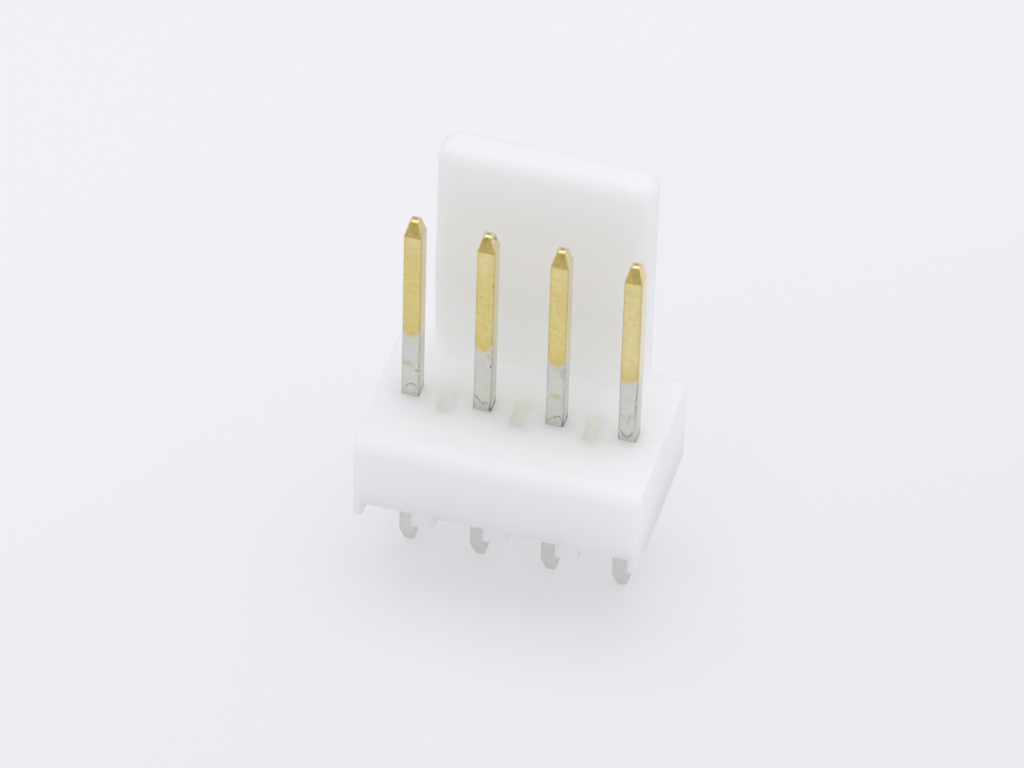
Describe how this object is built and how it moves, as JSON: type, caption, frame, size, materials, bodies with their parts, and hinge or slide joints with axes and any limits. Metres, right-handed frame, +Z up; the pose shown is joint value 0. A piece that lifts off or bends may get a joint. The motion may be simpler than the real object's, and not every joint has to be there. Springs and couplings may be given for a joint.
{
  "type": "pin header",
  "caption": "Upright friction-lock pin header: a nylon base with a tall lock wall behind a row of square plated pins, with tails for a circuit board.",
  "frame": {"origin": "middle of the pin row on the board: the ribs under the base end at this height", "axes": "+X along the pin row, +Y from the open front to the lock wall, +Z up the pins, away from the board"},
  "size_m": [0.01, 0.0062, 0.0162],
  "materials": {
    "nylon": "satin",
    "plating": "polished"
  },
  "bodies": {
    "root": {"housing": "nylon", "pin_1": "plating", "pin_2": "plating", "pin_3": "plating", "pin_4": "plating"}
  },
  "joints": []
}
